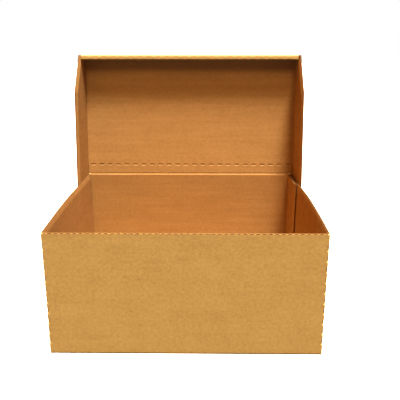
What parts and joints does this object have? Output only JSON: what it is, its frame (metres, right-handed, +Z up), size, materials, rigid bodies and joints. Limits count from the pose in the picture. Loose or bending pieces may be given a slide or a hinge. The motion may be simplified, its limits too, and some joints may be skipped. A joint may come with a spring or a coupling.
{
  "type": "corrugated mailer box",
  "caption": "Plain kraft corrugated mailer box with a folded bottom and a hinged hood lid that closes over the open base.",
  "frame": {"origin": "on the floor, under the middle of the base, on the bottom's front flap", "axes": "+Z up, -Y towards the front wall, +X to the right seen from the front"},
  "size_m": [0.3076, 0.1832, 0.3187],
  "materials": {
    "kraft_board": "unprinted brown kraft liner, matt"
  },
  "bodies": {
    "base": {"base": "kraft_board"},
    "lid": {"lid": "kraft_board"}
  },
  "joints": [
    {"name": "lid_hinge", "type": "hinge", "parent": "base", "child": "lid", "pos_m": [0, 0.0828, 0.1443], "axis": [1, 0, 0], "range_deg": [-80, 95]}
  ]
}
